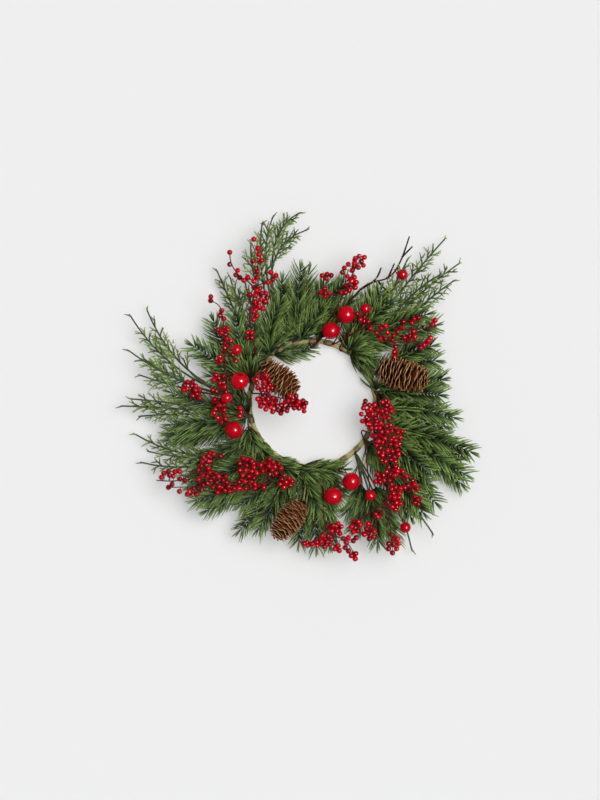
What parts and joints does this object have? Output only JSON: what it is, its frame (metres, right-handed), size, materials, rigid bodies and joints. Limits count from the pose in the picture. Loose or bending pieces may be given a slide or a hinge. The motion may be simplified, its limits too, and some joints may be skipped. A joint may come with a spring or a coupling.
{
  "type": "candle ring",
  "caption": "Round table decoration that lies round a candle: a wire ring with fir and cedar branches, red berries and pinecones.",
  "frame": {"origin": "middle of the candle opening, on the plane that the ring stands on", "axes": "+Z up out of the table, through the candle opening; +X to the right and +Y up in the picture, which looks straight down"},
  "size_m": [0.3014, 0.2905, 0.0406],
  "materials": {
    "fir_needles": "moulded soft plastic needles, dull green, paler at the tips",
    "cedar_leaves": "moulded soft plastic leaves, dull yellowish green",
    "berry_stems": "thin coated wire, dark red brown",
    "berries": "lacquered round berries, glossy red",
    "pinecone": "dry woody scales, brown with paler edges",
    "dark_twig": "thin dark twig, dull burgundy brown",
    "tape": "dull crinkled paper tape, brown",
    "ring_paper": "twisted paper wrap, olive brown",
    "steel_wire": "plain drawn steel wire"
  },
  "bodies": {
    "root": {"bare_twig": "dark_twig", "berry_cluster_1": "berries", "berry_cluster_2": "berries", "berry_cluster_3": "berries", "berry_cluster_4": "berries", "berry_cluster_5": "berries", "berry_cluster_6": "berries", "berry_cluster_7": "berries", "berry_cluster_8": "berries", "berry_stem_1": "berry_stems", "berry_stem_2": "berry_stems", "berry_stem_3": "berry_stems", "berry_stem_4": "berry_stems", "berry_stem_5": "berry_stems", "berry_stem_6": "berry_stems", "berry_stem_7": "berry_stems", "berry_stem_8": "berry_stems", "berry_wires": "berry_stems", "binding_tape": "tape", "cedar_branch_1": "cedar_leaves", "cedar_branch_2": "cedar_leaves", "cedar_branch_3": "cedar_leaves", "cedar_branch_4": "cedar_leaves", "cedar_branch_5": "cedar_leaves", "cedar_branch_6": "cedar_leaves", "cedar_branch_7": "cedar_leaves", "cedar_branch_8": "cedar_leaves", "fir_branch_01": "fir_needles", "fir_branch_02": "fir_needles", "fir_branch_03": "fir_needles", "fir_branch_04": "fir_needles", "fir_branch_05": "fir_needles", "fir_branch_06": "fir_needles", "fir_branch_07": "fir_needles", "fir_branch_08": "fir_needles", "fir_branch_09": "fir_needles", "fir_branch_10": "fir_needles", "fir_branch_11": "fir_needles", "fir_branch_12": "fir_needles", "fir_branch_13": "fir_needles", "fir_branch_14": "fir_needles", "fir_branch_15": "fir_needles", "fir_branch_16": "fir_needles", "fir_branch_17": "fir_needles", "fir_branch_18": "fir_needles", "fir_branch_19": "fir_needles", "fir_branch_20": "fir_needles", "large_berries": "berries", "medium_berries": "berries", "pinecone_core_1": "pinecone", "pinecone_core_2": "pinecone", "pinecone_core_3": "pinecone", "pinecone_scales_1": "pinecone", "pinecone_scales_2": "pinecone", "pinecone_scales_3": "pinecone", "pinecone_wires": "steel_wire", "ring_strand_1": "ring_paper", "ring_strand_2": "ring_paper", "ring_wire": "steel_wire"}
  },
  "joints": []
}
